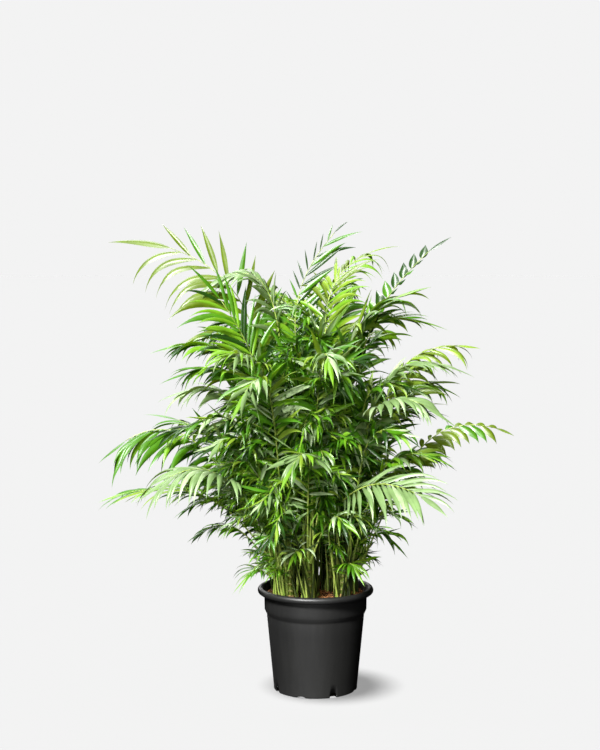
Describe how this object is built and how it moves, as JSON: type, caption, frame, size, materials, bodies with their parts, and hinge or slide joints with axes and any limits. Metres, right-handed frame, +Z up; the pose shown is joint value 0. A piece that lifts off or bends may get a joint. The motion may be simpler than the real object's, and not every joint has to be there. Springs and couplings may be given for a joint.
{
  "type": "potted parlour palm",
  "caption": "Bushy feather-leaved indoor palm with arching fronds on short canes, in a round dark nursery pot with a rolled rim.",
  "frame": {"origin": "centre of the pot's flat underside", "axes": "+Z up the pot's axis; the pictured side faces -Y, with +X to the right"},
  "size_m": [0.7592, 0.6503, 0.8641],
  "materials": {
    "pot": "satin, moulded",
    "potting_mix": "rough, loose fibre and bark",
    "cane": "satin, green",
    "frond": "satin leaf"
  },
  "bodies": {
    "root": {"pot": "pot", "potting_mix": "potting_mix", "cane_01": "cane", "cane_02": "cane", "cane_03": "cane", "cane_04": "cane", "cane_05": "cane", "cane_06": "cane", "cane_07": "cane", "cane_08": "cane", "cane_09": "cane", "cane_10": "cane", "cane_11": "cane", "cane_12": "cane", "cane_13": "cane", "frond_01": "frond", "frond_02": "frond", "frond_03": "frond", "frond_04": "frond", "frond_05": "frond", "frond_06": "frond", "frond_07": "frond", "frond_08": "frond", "frond_09": "frond", "frond_10": "frond", "frond_11": "frond", "frond_12": "frond", "frond_13": "frond", "frond_14": "frond", "frond_15": "frond", "frond_16": "frond", "frond_17": "frond", "frond_18": "frond", "frond_19": "frond", "frond_20": "frond", "frond_21": "frond", "frond_22": "frond", "frond_23": "frond", "frond_24": "frond", "frond_25": "frond", "frond_26": "frond", "frond_27": "frond", "frond_28": "frond", "frond_29": "frond", "frond_30": "frond", "frond_31": "frond", "frond_32": "frond", "frond_33": "frond", "frond_34": "frond", "frond_35": "frond", "frond_36": "frond", "frond_37": "frond", "frond_38": "frond", "frond_39": "frond", "frond_40": "frond", "frond_41": "frond", "frond_42": "frond", "frond_43": "frond", "frond_44": "frond", "frond_45": "frond"}
  },
  "joints": []
}
